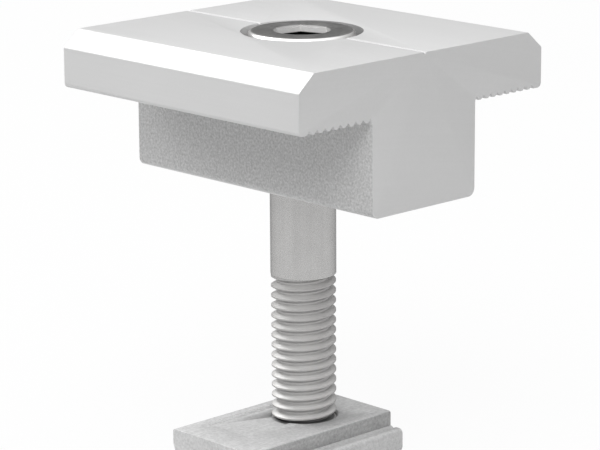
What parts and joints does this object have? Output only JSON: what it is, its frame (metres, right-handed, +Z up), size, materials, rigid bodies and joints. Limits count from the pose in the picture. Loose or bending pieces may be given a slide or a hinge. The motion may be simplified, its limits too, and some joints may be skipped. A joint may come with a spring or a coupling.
{
  "type": "solar mid clamp",
  "caption": "T-shaped aluminium clamp block with a socket screw and a shouldered rail nut, for holding two solar modules down on a mounting rail.",
  "frame": {"origin": "on the screw's axis, level with the underside of the rail nut", "axes": "+Z up along the screw; +X along the mounting rail, across the gap between the two modules; +Y along the clamp block's extrusion"},
  "size_m": [0.04, 0.0404, 0.0582],
  "materials": {
    "anodised_aluminium": "satin",
    "stainless_steel": "satin",
    "spring_steel": "satin",
    "mill_aluminium": "matt, as extruded"
  },
  "bodies": {
    "clamp": {"clamp_block": "anodised_aluminium"},
    "washer": {"lock_washer": "spring_steel"},
    "screw": {"socket_screw": "stainless_steel"},
    "nut": {"rail_nut": "mill_aluminium"}
  },
  "joints": [
    {"name": "screw_lift", "type": "slide", "parent": "clamp", "child": "washer", "axis": [0, 0, 1], "range_m": [0, 0.013]},
    {"name": "screw_turn", "type": "hinge", "parent": "washer", "child": "screw", "pos_m": [0, 0, 0.05], "axis": [0, 0, 1], "range_deg": [-4680, 1440]},
    {"name": "nut_draw", "type": "slide", "parent": "washer", "child": "nut", "axis": [0, 0, 1], "range_m": [-0.00501, 0.01626]}
  ],
  "couplings": [
    {"joint": "nut_draw", "follows": "screw_turn", "m_per_rad": -0.00019894}
  ]
}
